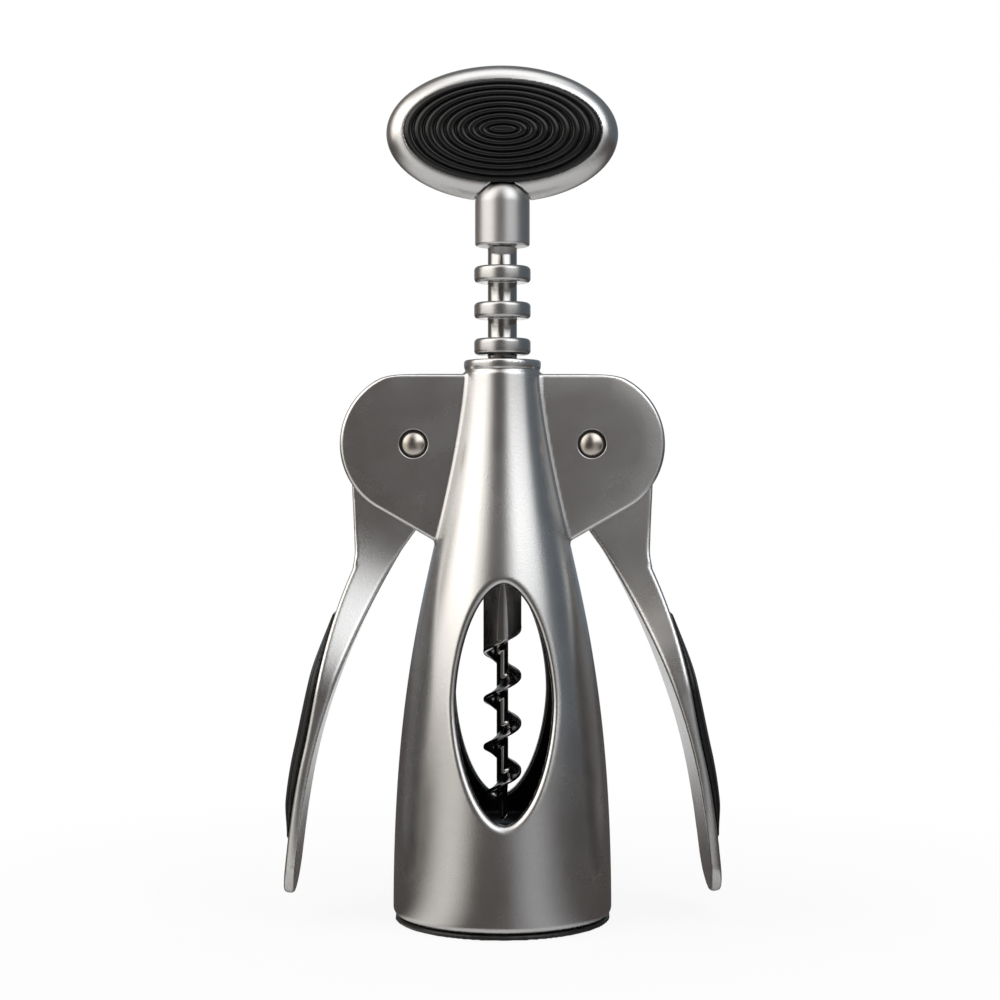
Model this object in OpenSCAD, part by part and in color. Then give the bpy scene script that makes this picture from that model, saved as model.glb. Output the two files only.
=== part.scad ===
// Wing corkscrew, in millimetres.
// The origin is the middle of the foot's underside, +Z is up and the window looks along -Y.

/* [Body casting] */
// Height of the casting's top edge above the ground
body_h = 124.3; // [118:0.1:132]
// Outer radius of the bell at its foot
bell_r = 24.3; // [23:0.1:27]
// Outer radius of the neck under its bead
neck_r = 8.6; // [8.3:0.1:9.6]
// Wall of the bell
wall = 2.5; // [1.8:0.1:3]
// Height of the bead round the top edge
bead_h = 1.9; // [1.2:0.1:3]
// Height of the solid shoulder that guides the stem
shoulder_h = 36.3; // [32:0.1:38]

/* [Window] */
// Height of the window's lower end above the ground
window_z = 24.1; // [22:0.1:28]
// Height of the window
window_h = 51; // [42:0.5:53]
// Width of the window
window_w = 20.8; // [16:0.2:24]

/* [Bottle guide] */
// Radius of the socket that sits over a bottle's mouth
socket_r = 15.25; // [14.5:0.05:16.5]
// Depth of the socket
socket_d = 18; // [12:0.5:20]
// Wall of the guide
guide_wall = 1.3; // [1:0.1:2]
// Thickness of the flange under the casting
flange_t = 1.1; // [0.8:0.1:2]
// How far the flange stays inside the foot of the bell
flange_inset = 0.4; // [0:0.1:1.5]
// Height of the skirt that lines the bell
skirt_top = 58; // [40:0.5:66]
// Radius of the hole that the worm drops through
worm_hole_r = 5.5; // [4.8:0.1:8]

/* [Ears and pivot pins] */
// Thickness of each ear plate
ear_t = 1.4; // [1:0.1:2]
// Gap between the front and back ear plates
slot_w = 5.2; // [4.6:0.1:6]
// How far the pivots lie below the casting's top edge
pivot_drop = 18.7; // [17.8:0.1:19.5]
// Radius of a pivot pin
pin_r = 2.7; // [2:0.1:3.2]
// How far a pin's domed heads stand out of the recess floor
pin_head = 0.9; // [0.5:0.1:1.1]
// Depth of the recess round each pin head
recess_d = 0.7; // [0.4:0.1:0.8]

/* [Rack and gears] */
// Distance from one collar to the next
pitch = 8.05; // [7.8:0.05:8.3]
// Radius of the collars
collar_r = 6.3; // [6:0.05:6.6]
// Height of a collar
collar_h = 3.65; // [3.2:0.05:3.8]
// Radius of the necks between the collars
stem_r = 3.25; // [3:0.05:3.5]
// Rounding of a collar's corners
collar_round = 1; // [0.6:0.1:1.3]
// How far the stem travels down
stroke = 34; // [30:0.5:35]

/* [Levers] */
// How far a lever's tip hangs below its pivot
arm_drop = 99.5; // [90:0.5:101]
// How far a lever's tip stands out from its pivot
arm_reach = 26.3; // [22:0.1:32]
// Thickness of the paddle
paddle_t = 2.3; // [1.8:0.1:3]
// Width of the paddle
paddle_w = 26.5; // [18:0.1:28]
// Depth of the arm where it leaves the ears
root_t = 8; // [7:0.1:11]
// Height of the soft pad's crown
pad_crown = 2.5; // [1.2:0.1:3]
// Metal border left round the soft pad
pad_border = 0.9; // [0.5:0.1:2]

/* [Worm] */
// Radius of the rod through the stem
rod_r = 2; // [1.6:0.1:2.1]
// Radius of the shank and of the thread
worm_r = 4.25; // [3.6:0.05:4.5]
// Radius of the thread's core
core_r = 1.3; // [1:0.05:1.7]
// Distance from one turn of the thread to the next
worm_pitch = 10.6; // [9:0.1:12]
// Length of the thread
worm_len = 40.2; // [36:0.1:42]

/* [Handle] */
// Width of the oval handle
handle_w = 51.8; // [44:0.2:60]
// Height of the oval handle
handle_h = 30.6; // [27:0.2:36]
// Width of the metal rim, seen from the front
rim_w = 3.9; // [3:0.1:5]
// Depth of the metal rim, front to back
rim_d = 9.2; // [8:0.1:9.6]
// Thickness of the web inside the rim
web_t = 4; // [3:0.1:5]
// Distance from the handle's middle plane to the crown of a pad
grip_crown = 7.2; // [6:0.1:9]
// Radius of the ferrule
ferrule_r = 6.1; // [5.6:0.05:6.2]
// Length of the ferrule below the handle
ferrule_h = 9.8; // [8:0.1:11]

/* [Hidden] */

// Clearances
seat_gap = 0.02;     // pieces pressed or moulded into each other
soft_gap = 0.1;      // between a soft piece and its metal seat
pivot_gap = 0.06;    // lever on its pin
rod_gap = 0.05;      // rod inside the rack sleeve
slide_gap = 0.3;     // collars inside the neck bore
side_gap = 0.1;      // lever beside an ear plate
end_gap = 0.2;       // end float of the rack sleeve
mesh_gap = 0.4;      // collar to the root of the gear
tip_gap = 1;         // tooth tip to the neck of the stem
stop_gap = 1.2;      // handle above the casting at full stroke
over = 1;            // how far a cut runs past what it cuts
corner = 0.4;        // small chamfers, and the groove under the bead

// Body casting
foot_round = 1;
foot_h = 3.9;        // upright part of the bell, above the flange
cone_h = 8;          // cone between the bell's inner wall and the shoulder
bell_h = body_h - bead_h - corner;
bell = [[bell_r, flange_t + foot_h], [0.98 * bell_r, 0.555 * body_h],
    [1.4 * neck_r, 0.66 * body_h], [neck_r, bell_h]];
bore_r = collar_r + slide_gap;
shoulder_z = body_h - shoulder_h;

// Rack, gears and pivots: twelve teeth would close the circle
gear_teeth = 12;
tooth_step = 360 / gear_teeth;
gear_r = gear_teeth * pitch / (2 * PI);
bite = 1.9;
pivot_x = gear_r + collar_r - bite;
pivot_z = body_h - pivot_drop;
root_r = pivot_x - collar_r - mesh_gap;
tip_r = pivot_x - stem_r - tip_gap;
ear_r = tip_r + 0.8;
ear_top = tip_r;
ear_y = slot_w / 2 + ear_t;
lever_t = slot_w - 2 * side_gap;
slot_r = ear_r - corner;
slot_foot = 1.64 * root_r;
tooth_root = 0.49 * pitch / 2;
tooth_tip = 0.3 * pitch / 2;

// Stem, from the handle downwards
rim_z = body_h + stroke + stop_gap;
handle_z = rim_z + handle_h / 2;
ferrule_z = rim_z - ferrule_h;
rack_top = ferrule_z - end_gap;
collar_drop = 6.3;   // from the ferrule down to the first collar's middle
first_collar = ferrule_z - collar_drop;
collars = ceil((first_collar - pivot_z) / pitch + 1.2) + 1;
foot_stub = 1.6;     // neck that goes on below the last collar
rack_foot = first_collar - (collars - 1) * pitch - collar_h / 2 - foot_stub;
gaps_to_pivot = round((first_collar - pivot_z) / pitch - 0.5);
mesh_z = first_collar - (gaps_to_pivot + 0.5) * pitch - pivot_z;
mesh_angle = mesh_z / gear_r * 180 / PI;
rod_top = rim_z + rim_w / 2;

// Worm: its thread starts where the slanted end of the shank is
floor_t = 2;
floor_z = socket_d + floor_t;
tip_gap_z = 1.7;     // worm's tip above the guide's floor
tip_z = floor_z + tip_gap_z;
shank_z = tip_z + worm_len;
point_h = worm_pitch;
thread_inset = 0.05;
shank_top = rack_foot - end_gap;

// Arm of a lever, seen from the front: outwards is +X and the pivot is the origin
arm = [[0, -1.47 * root_r], [0.885 * arm_reach, -0.57 * arm_drop],
    [0.9 * arm_reach, -0.78 * arm_drop], [arm_reach, -arm_drop]];

function ease(t) = let (c = min(1, max(0, t))) c * c * (3 - 2 * c);
function bezier(p, t) = pow(1 - t, 3) * p[0] + 3 * pow(1 - t, 2) * t * p[1]
    + 3 * (1 - t) * t * t * p[2] + t * t * t * p[3];
function slope(p, t) = pow(1 - t, 2) * (p[1] - p[0]) + 2 * (1 - t) * t * (p[2] - p[1])
    + t * t * (p[3] - p[2]);
function unit(v) = v / norm(v);

// Thickness and half width of the arm, from the ears (0) to the tip (1)
function arm_t(t) = paddle_t + (root_t - paddle_t) * (1 - ease(t / 0.54));
function arm_w(t) = let (
        wide = lever_t / 2 - side_gap + (paddle_w - lever_t) / 2 * ease((t - 0.02) / 0.36),
        taper = 1 - 0.22 * pow(max(0, t - 0.55) / 0.45, 2),
        round_end = sqrt(1 - pow(max(0, t - 0.88) / 0.12, 2))
    ) wide * taper * round_end;

// A point of the arm: t along it, u outwards from its middle, v across it
function arm_point(t, u, v) = let (
        d = unit(slope(arm, t)),
        out = [-d[1], d[0]],
        c = bezier(arm, t) + out * (arm_t(t) / 2 + u)
    ) [c[0], v, c[1]];

// Rounded rectangle, as a ring of points
function round_ring(a, b, r) = [for (q = [0:3], k = [0:4])
    let (s = q * 90 + k * 22.5, x = (q == 0 || q == 3) ? 1 : -1, y = q < 2 ? 1 : -1)
    [x * (a - r) + r * cos(s), y * (b - r) + r * sin(s)]];

// Half width of the window at a height from its middle: an oval with drawn-out ends
function window_half(z, a, b) = b * pow(max(0, 1 - pow(abs(z) / a, 1.8)), 0.55);

// Skin over rings of points that all have the same count
module skin(rings) {
    n = len(rings[0]);
    last = len(rings) - 1;
    walls = [for (i = [0:last - 1], j = [0:n - 1])
        let (a = i * n + j, b = i * n + (j + 1) % n) each [[a, b, b + n], [a, b + n, a + n]]];
    polyhedron(
        [for (ring = rings) each ring],
        concat(walls, [[for (j = [n - 1:-1:0]) j]], [[for (j = [0:n - 1]) last * n + j]])
    );
}

// Outline in X and Z, given a depth along Y
module plate(depth) {
    rotate([90, 0, 0]) linear_extrude(depth, center = true) children();
}

module window_outline(grow) {
    a = window_h / 2 + grow;
    b = window_w / 2 + grow;
    steps = 36;
    side = [for (i = [0:steps]) let (z = -a * cos(180 * i / steps))
        [window_half(z, a, b), z]];
    translate([0, window_z + window_h / 2]) polygon(concat(side,
        [for (i = [steps - 1:-1:1]) [-side[i][0], side[i][1]]]));
}

module bell_outline() {
    side = [for (i = [0:24]) bezier(bell, i / 24)];
    foot = [for (a = [270:15:360]) [bell_r - foot_round + foot_round * cos(a),
        flange_t + foot_round + foot_round * sin(a)]];
    polygon(concat([[0, flange_t]], foot, side,
        [[neck_r - corner, bell_h], [neck_r - corner, bell_h + corner]],
        [for (a = [-90:30:90]) [neck_r - bead_h / 2 + bead_h / 2 * cos(a),
            body_h - bead_h / 2 + bead_h / 2 * sin(a)]],
        [[0, body_h]]));
}

// Inner wall of the bell, moved outwards by grow
module cavity_outline(grow) {
    side = [for (i = [0:24]) bezier(bell, i / 24) + [grow - wall, 0]];
    low = [for (p = side) if (p[1] < shoulder_z - cone_h) p];
    polygon(concat([[0, -over], [bell_r - wall + grow, -over]], low,
        [[bore_r, shoulder_z], [0, shoulder_z]]));
}

module ear_outline() {
    difference() {
        union() {
            circle(ear_r, $fn = 96);
            polygon([[-pivot_x, ear_top], [0, ear_top], ear_r * [cos(60), -sin(60)],
                [-0.375 * root_r, -slot_foot], [-pivot_x, -slot_foot]]);
        }
        translate([-2 * ear_r, ear_top]) square([4 * ear_r, ear_r]);
    }
}

module body_shell() {
    color("silver") difference() {
        union() {
            rotate_extrude($fn = 120) bell_outline();
            for (side = [0, 1]) mirror([side, 0, 0]) translate([pivot_x, 0, pivot_z])
                plate(2 * ear_y) ear_outline();
        }
        rotate_extrude($fn = 120) cavity_outline(0);
        cylinder(h = body_h + over, r = bore_r, $fn = 96);
        for (side = [0, 1]) mirror([side, 0, 0]) translate([pivot_x, 0, pivot_z]) {
            lever_slot();
            pin_holes();
        }
        plate(4 * bell_r) window_outline(0);
    }
}

// Room between two ear plates: the gear's circle, and all that lies outside the bell
module lever_slot() {
    plate(slot_w) union() {
        circle(slot_r, $fn = 96);
        translate([0, -2 * ear_r]) square([2 * ear_r, 4 * ear_r]);
        polygon([[0, 0], [-0.3 * root_r, -0.95 * root_r],
            [-0.33 * root_r, -slot_foot], [0, -slot_foot]]);
    }
}

module pin_holes() {
    rotate([90, 0, 0]) {
        cylinder(h = 2 * ear_y + over, r = pin_r + seat_gap, center = true, $fn = 48);
        for (face = [0, 1]) mirror([0, 0, face]) {
            translate([0, 0, ear_y - recess_d]) cylinder(h = over, r = pin_r + corner, $fn = 48);
            translate([0, 0, ear_y - corner])
                cylinder(h = 1.01 * corner, r1 = pin_r + corner, r2 = pin_r + 1.8 * corner, $fn = 48);
        }
    }
}

module pivot_pin() {
    flat = ear_y - recess_d;
    dome = (pin_r * pin_r + pin_head * pin_head) / (2 * pin_head);
    translate([pivot_x, 0, pivot_z]) rotate([90, 0, 0]) intersection() {
        cylinder(h = 2 * (flat + pin_head), r = pin_r, center = true, $fn = 48);
        translate([0, 0, flat + pin_head - dome]) sphere(dome, $fn = 96);
        translate([0, 0, dome - flat - pin_head]) sphere(dome, $fn = 96);
    }
}

module bottle_guide() {
    lip = 2 * corner;
    web = 0.9;
    color("#1c1c1e") difference() {
        union() {
            intersection() {
                rotate_extrude($fn = 120) cavity_outline(-soft_gap);
                cylinder(h = skirt_top, r = bell_r, $fn = 96);
            }
            cylinder(h = flange_t, r = bell_r - flange_inset, $fn = 120);
        }
        translate([0, 0, floor_z]) rotate_extrude($fn = 120) difference() {
            translate([0, -floor_z]) cavity_outline(-soft_gap - guide_wall);
            translate([-over, -2 * floor_z]) square([2 * bell_r, 2 * floor_z]);
        }
        difference() {
            rotate_extrude($fn = 120) cavity_outline(-soft_gap - guide_wall);
            translate([0, 0, socket_d]) cylinder(h = body_h, r = bell_r, $fn = 96);
            translate([0, 0, -2 * over]) cylinder(h = flange_t + web + 2 * over, r = bell_r, $fn = 96);
            cylinder(h = socket_d, r = socket_r + guide_wall, $fn = 96);
        }
        translate([0, 0, -over]) cylinder(h = socket_d + over, r = socket_r, $fn = 120);
        translate([0, 0, -0.01]) cylinder(h = lip, r1 = socket_r + lip, r2 = socket_r, $fn = 120);
        cylinder(h = floor_z + over, r = worm_hole_r, $fn = 72);
        plate(4 * bell_r) window_outline(corner);
    }
}

module rack_sleeve() {
    k = collar_round;
    corner = [for (a = [0:18:90]) [collar_r - k + k * sin(a), collar_h / 2 - k + k * cos(a)]];
    half = concat(corner, [for (i = [len(corner) - 1:-1:0]) [corner[i][0], -corner[i][1]]]);
    color("silver") difference() {
        union() {
            translate([0, 0, rack_foot]) cylinder(h = rack_top - rack_foot, r = stem_r, $fn = 72);
            for (i = [0:collars - 1]) translate([0, 0, first_collar - i * pitch]) rotate_extrude($fn = 96)
                polygon(concat([[0, collar_h / 2]], half, [[0, -collar_h / 2]]));
        }
        translate([0, 0, rack_foot - over])
            cylinder(h = rack_top - rack_foot + 2 * over, r = rod_r + rod_gap, $fn = 48);
    }
}

// Slice of the thread: a round core with one lobe that thins towards its edge, turned by phase
function worm_slice(phase, size, z) = [for (i = [-6:13]) let (
        k = min(abs(i), 6) / 6,
        lobe = i <= 6,
        r = lobe ? core_r * 0.9 + (worm_r - thread_inset - core_r * 0.9) * pow(1 - k, 0.8) : core_r,
        a = lobe ? sign(i) * (14 * min(1, abs(i)) + 70 * pow(k, 1.6)) : 84 + 24 * (i - 6)
    ) [size * r * cos(a + phase), size * r * sin(a + phase), z]];

module worm() {
    turn = 360 / worm_pitch;
    into_shank = 2.5;
    thread_h = worm_len + into_shank;
    lean = atan(worm_pitch / (4 * worm_r));
    phase = 180 - turn * (shank_z - worm_pitch / 4 - tip_z);
    layers = 66;
    rings = [for (i = [layers:-1:0]) let (z = thread_h * i / layers)
        worm_slice(phase + turn * z, 1 - 0.88 * pow(max(0, 1 - z / point_h), 1.3), tip_z + z)];
    color("#55565a") {
        difference() {
            translate([0, 0, tip_z]) cylinder(h = shank_top - tip_z, r = worm_r, $fn = 72);
            translate([0, 0, shank_z]) rotate([0, -lean, 0]) translate([0, 0, -worm_len])
                cube([8 * worm_r, 8 * worm_r, 2 * worm_len], center = true);
        }
        skin(rings);
        translate([0, 0, shank_top - over]) cylinder(h = rod_top - shank_top + over, r = rod_r, $fn = 48);
    }
}

module handle_ferrule() {
    dome_z = rim_z - 0.05 * ferrule_r;
    dome = [for (a = [0:10:90]) [ferrule_r * cos(a), dome_z + ferrule_r * sin(a)]];
    color("silver") difference() {
        rotate_extrude($fn = 96) polygon(concat([[0, ferrule_z], [ferrule_r - corner, ferrule_z],
            [ferrule_r, ferrule_z + corner]], dome));
        translate([-2 * ferrule_r, -rim_d / 2 - seat_gap, rim_z - soft_gap])
            cube([4 * ferrule_r, rim_d + 2 * seat_gap, handle_h]);
        translate([0, 0, ferrule_z - over])
            cylinder(h = ferrule_h + 2 * over, r = rod_r + seat_gap, $fn = 48);
    }
}

function oval(a, b, s) = [a * cos(s), b * sin(s)];

// Ring of points on the rim's section at angle s round the oval
function rim_ring(s) = [for (q = [0:20:340]) let (
        inset = rim_w / 2 * (1 - cos(q)),
        p = oval(handle_w / 2 - inset, handle_h / 2 - inset, s)
    ) [p[0], rim_d / 2 * sin(q), p[1]]];

module handle_frame() {
    steps = 64;
    n = 18;
    middle = rim_w / 2;
    rings = [for (i = [0:steps - 1]) rim_ring(360 * i / steps)];
    faces = [for (i = [0:steps - 1], j = [0:n - 1])
        let (a = i * n + j, b = i * n + (j + 1) % n, k = n * steps, up = (i + 1) % steps * n - i * n)
        each [[a, b + up, b], [a, a + up, b + up]]];
    color("silver") translate([0, 0, handle_z]) difference() {
        union() {
            polyhedron([for (ring = rings) each ring], faces);
            plate(web_t) polygon([for (i = [0:steps - 1])
                oval(handle_w / 2 - middle, handle_h / 2 - middle, 360 * i / steps)]);
        }
        translate([0, 0, rim_z - handle_z - over])
            cylinder(h = over + rod_top - rim_z + soft_gap, r = rod_r + seat_gap, $fn = 48);
    }
}

// Soft oval pad with a low dome, lying on one side of the web
module handle_pad() {
    lap = 0.2;           // how far the pad's edge reaches on to the inner side of the rim
    a = handle_w / 2 - rim_w + lap;
    b = handle_h / 2 - rim_w + lap;
    base = web_t / 2 + soft_gap;
    shoulder = base + 0.4 * web_t;
    rings = concat(
        [for (y = [base, shoulder]) [for (s = [0:7.5:352.5]) let (p = oval(a, b, s)) [p[0], -y, p[1]]]],
        [for (k = [1:6])
            let (f = max(0.03, cos(15 * k)), y = shoulder + (grip_crown - shoulder) * sin(15 * k))
            [for (s = [0:7.5:352.5]) let (p = oval(a * f, b * f, s)) [p[0], -y, p[1]]]]
    );
    color("#1c1c1e") translate([0, 0, handle_z]) skin(rings);
}

module lever() {
    stations = concat([for (i = [0:15]) i * 0.055], [for (i = [0:6]) 0.865 + 0.13 * sin(15 * i)]);
    rings = [for (t = stations)
        [for (q = round_ring(arm_t(t) / 2, arm_w(t), min(0.45 * arm_t(t), 1, 0.9 * arm_w(t))))
            arm_point(t, q[0], q[1])]];
    translate([pivot_x, 0, pivot_z]) difference() {
        union() {
            plate(lever_t) lever_hub();
            skin(rings);
        }
        rotate([90, 0, 0]) cylinder(h = 2 * lever_t, r = pin_r + pivot_gap, center = true, $fn = 48);
    }
}

module lever_hub() {
    inner = arm_point(0.04, -arm_t(0.04) / 2, 0);
    outer = arm_point(0.1, arm_t(0.1) / 2, 0);
    circle(root_r, $fn = 96);
    polygon([[1.06 * root_r, -0.35 * root_r], [-0.45 * root_r, -0.89 * root_r],
        [inner[0], inner[2]], [outer[0], outer[2]]]);
    flank = [[root_r - over, tooth_root], [root_r, tooth_root], [tip_r - 0.5, tooth_tip],
        [tip_r, tooth_tip - corner]];
    for (i = [-1:4]) rotate(180 - mesh_angle - tooth_step * i)
        polygon(concat([for (p = flank) [p[0], -p[1]]], [for (k = [3:-1:0]) flank[k]]));
}

// Soft pad on the outer face of a lever's paddle, thickest along its middle
module lever_pad() {
    rings = [for (i = [0:14]) let (
            f = i / 14,
            t = 0.19 + 0.64 * f,
            w = (arm_w(t) - pad_border) * pow(sin(180 * (0.06 + 0.88 * f)), 0.18),
            h = pad_crown * (0.55 + 0.45 * sin(180 * f))
        ) concat([for (v = [-1, 1]) arm_point(t, arm_t(t) / 2 + soft_gap, v * w)],
            [for (k = [8:-1:0]) let (v = -1 + k / 4)
                arm_point(t, arm_t(t) / 2 + soft_gap + h * (0.35 + 0.65 * cos(90 * v)), v * w)])];
    translate([pivot_x, 0, pivot_z]) skin(rings);
}

body_shell();
bottle_guide();
color("gainsboro") mirror([1, 0, 0]) pivot_pin();  // left_pivot_pin
color("gainsboro") pivot_pin();  // right_pivot_pin
rack_sleeve();
worm();
handle_ferrule();
handle_frame();
handle_pad();  // handle_pad_front
mirror([0, 1, 0]) handle_pad();  // handle_pad_back
color("silver") mirror([1, 0, 0]) lever();  // left_lever
color("#1c1c1e") mirror([1, 0, 0]) lever_pad();  // left_lever_pad
color("silver") lever();  // right_lever
color("#1c1c1e") lever_pad();  // right_lever_pad
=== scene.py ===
"""Wing corkscrew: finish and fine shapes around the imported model, in metres."""
import math

import bpy
import numpy as np
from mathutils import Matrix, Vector


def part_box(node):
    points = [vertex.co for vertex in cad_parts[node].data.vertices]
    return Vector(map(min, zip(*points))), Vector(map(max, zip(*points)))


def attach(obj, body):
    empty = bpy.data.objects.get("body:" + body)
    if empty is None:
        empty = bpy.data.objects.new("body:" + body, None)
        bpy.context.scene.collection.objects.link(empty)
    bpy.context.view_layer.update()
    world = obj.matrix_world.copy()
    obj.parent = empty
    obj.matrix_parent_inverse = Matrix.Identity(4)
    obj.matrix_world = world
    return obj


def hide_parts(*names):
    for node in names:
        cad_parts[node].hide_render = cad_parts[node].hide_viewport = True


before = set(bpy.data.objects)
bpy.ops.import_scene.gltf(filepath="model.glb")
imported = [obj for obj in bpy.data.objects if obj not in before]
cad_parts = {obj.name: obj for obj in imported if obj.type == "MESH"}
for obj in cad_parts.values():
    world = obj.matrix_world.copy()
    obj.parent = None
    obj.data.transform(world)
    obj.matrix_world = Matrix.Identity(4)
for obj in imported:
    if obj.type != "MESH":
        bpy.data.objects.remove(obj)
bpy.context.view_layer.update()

MM = 0.001


# ---------------------------------------------------------------- sizes, in millimetres

def span(node):
    """Lowest and highest corner of a CAD node, in millimetres."""
    low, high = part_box(node)
    return np.array(low) / MM, np.array(high) / MM


shell_low, shell_high = span("body_shell")
guide_low, guide_high = span("bottle_guide")
rack_low, rack_high = span("rack_sleeve")
worm_low, worm_high = span("worm")
ferrule_low, ferrule_high = span("handle_ferrule")
rim_low, rim_high = span("handle_frame")
pad_low, pad_high = span("handle_pad_front")
pin_low, pin_high = span("right_pivot_pin")
lever_low, lever_high = span("right_lever")
lever_pad_low, lever_pad_high = span("right_lever_pad")

BODY_H = shell_high[2]
FOOT_Z = shell_low[2]
BELL_R = shell_high[1]
PIVOT_X = (pin_low[0] + pin_high[0]) / 2
PIVOT_Z = (pin_low[2] + pin_high[2]) / 2
PIN_R = (pin_high[0] - pin_low[0]) / 2
EAR_R = shell_high[0] - PIVOT_X
EAR_TOP = EAR_R - 0.8
EAR_HALF = 4.0
SLOT_HALF = 2.6
NECK_R = 8.6
WALL = 2.5
BORE_R = 6.6
SHOULDER_Z = BODY_H - 36.3
WINDOW_Z = 49.6
WINDOW_A = 25.4
WINDOW_B = 10.4
ROOT_R = 13.07
TIP_R = 15.52
GEAR_R = 15.374
LEVER_HALF = 2.5
BEAD_GROOVE_Z = BODY_H - 2.35
BEAD_GROOVE = 0.28
PILLOW = 0.28
SOCKET_R = 15.25
WORM_HOLE_R = 5.5
GUIDE_FLOOR_Z = 19
STEM_PITCH = 8.05


# ---------------------------------------------------------------- distance fields

def round_cut(a, b, r):
    """Intersection of two fields whose shared edge is rounded to radius r."""
    return np.minimum(np.maximum(a, b), -r) + np.hypot(np.maximum(a + r, 0), np.maximum(b + r, 0))


def round_join(a, b, r):
    """Union of two fields with a fillet of radius r."""
    return -round_cut(-a, -b, r)


def ease(t):
    """0 to 1 with soft ends."""
    c = np.clip(t, 0, 1)
    return c * c * (3 - 2 * c)


def bezier(p, t):
    p = np.asarray(p, float)
    t = np.asarray(t, float)[..., None]
    return (1 - t) ** 3 * p[0] + 3 * (1 - t) ** 2 * t * p[1] + 3 * (1 - t) * t * t * p[2] + t ** 3 * p[3]


def bezier_slope(p, t):
    p = np.asarray(p, float)
    t = np.asarray(t, float)[..., None]
    return 3 * ((1 - t) ** 2 * (p[1] - p[0]) + 2 * (1 - t) * t * (p[2] - p[1]) + t * t * (p[3] - p[2]))


def surface_net(field, low, high, step):
    """Quads over the zero surface of field, with their corners moved on to the surface."""
    axes = [np.arange(l - step, h + 2 * step, step) for l, h in zip(low, high)]
    shape = tuple(len(a) for a in axes)
    value = np.empty(shape, np.float32)
    for i, x in enumerate(axes[0]):
        grid_y, grid_z = np.meshgrid(axes[1], axes[2], indexing="ij")
        value[i] = field(np.full_like(grid_y, x), grid_y, grid_z)
    inside = value < 0
    cell_shape = tuple(n - 1 for n in shape)
    total = np.zeros(cell_shape + (3,), np.float32)
    count = np.zeros(cell_shape, np.uint8)
    for axis in range(3):
        a = [slice(None)] * 3
        b = [slice(None)] * 3
        a[axis], b[axis] = slice(0, -1), slice(1, None)
        va, vb = value[tuple(a)], value[tuple(b)]
        cross = inside[tuple(a)] != inside[tuple(b)]
        part = np.where(cross, va / np.where(cross, va - vb, 1), 0)
        others = [k for k in range(3) if k != axis]
        for o1 in (0, 1):
            for o2 in (0, 1):
                pick = [slice(None)] * 3
                pick[others[0]] = slice(o1, o1 + cell_shape[others[0]])
                pick[others[1]] = slice(o2, o2 + cell_shape[others[1]])
                c, p = cross[tuple(pick)], part[tuple(pick)]
                count += c
                total[..., axis] += p
                total[..., others[0]] += c * o1
                total[..., others[1]] += c * o2
    used = count > 0
    index = np.full(cell_shape, -1, np.int64)
    index[used] = np.arange(used.sum())
    corner = np.stack([axes[k][np.nonzero(used)[k]] for k in range(3)], 1)
    points = corner + total[used] / count[used][:, None] * step
    quads = []
    for axis in range(3):
        a = [slice(1, -1)] * 3
        b = [slice(1, -1)] * 3
        a[axis], b[axis] = slice(0, -1), slice(1, None)
        ia, ib = inside[tuple(a)], inside[tuple(b)]
        for into in (True, False):
            at = np.nonzero((ia != ib) & (ia == into))
            cell = [at[k] + (0 if k == axis else 1) for k in range(3)]
            u, v = [k for k in range(3) if k != axis]
            ring = []
            for du, dv in ((1, 1), (0, 1), (0, 0), (1, 0)):
                c = list(cell)
                c[u] = cell[u] - du
                c[v] = cell[v] - dv
                ring.append(index[tuple(c)])
            ring = np.stack(ring, 1)
            quads.append(ring if into == (axis != 1) else ring[:, ::-1])
    quads = np.concatenate(quads)
    points = pull(field, points, step)
    for _ in range(2):
        points = pull(field, relax(points, quads), step, 1)
    return points, quads


def relax(points, quads):
    """Moves each point half of the way to the middle of its neighbours."""
    count = np.bincount(quads.ravel(), minlength=len(points)) * 2
    total = np.zeros_like(points)
    for axis in range(3):
        for turn in (1, 3):
            beside = points[np.roll(quads, turn, 1).ravel(), axis]
            total[:, axis] += np.bincount(quads.ravel(), beside, len(points))
    return 0.5 * points + 0.5 * total / np.maximum(count, 1)[:, None]


def slopes(field, points, d):
    """The field's gradient at each point."""
    x, y, z = points.T
    return np.stack([
        field(x + d, y, z) - field(x - d, y, z),
        field(x, y + d, z) - field(x, y - d, z),
        field(x, y, z + d) - field(x, y, z - d)], 1) / (2 * d)


def pull(field, points, step, rounds=3):
    """Newton steps that bring points on to the zero surface of field."""
    for _ in range(rounds):
        f = field(*points.T)
        grad = slopes(field, points, step * 0.05)
        size = np.maximum((grad ** 2).sum(1), 0.1)
        move = -(f / size)[:, None] * grad
        length = np.linalg.norm(move, axis=1, keepdims=True)
        points = points + move * np.minimum(1, 0.6 * step / np.maximum(length, 1e-9))
    return points


def smooth_normals(mesh, ways):
    """Shades the mesh by its field's own normals, but for the points beside a sharp edge."""
    ways = ways / np.maximum(np.linalg.norm(ways, axis=1, keepdims=True), 1e-9)
    flat = np.zeros(len(mesh.vertices) * 3)
    mesh.vertices.foreach_get("normal", flat)
    agree = (flat.reshape(-1, 3) * ways).sum(1) > 0.955
    mesh.normals_split_custom_set_from_vertices((ways * agree[:, None]).tolist())


def outer_edges(field, points, d=0.2, least=0.45):
    """0 on flats and hollows, 1 on outer edges, from how the field bends at each point."""
    x, y, z = points.T
    around_it = (field(x + d, y, z) + field(x - d, y, z) + field(x, y + d, z) + field(x, y - d, z)
                 + field(x, y, z + d) + field(x, y, z - d))
    bend = (around_it - 6 * field(x, y, z)) / d ** 2
    return np.clip((bend - least) / 0.9, 0, 1)


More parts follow.
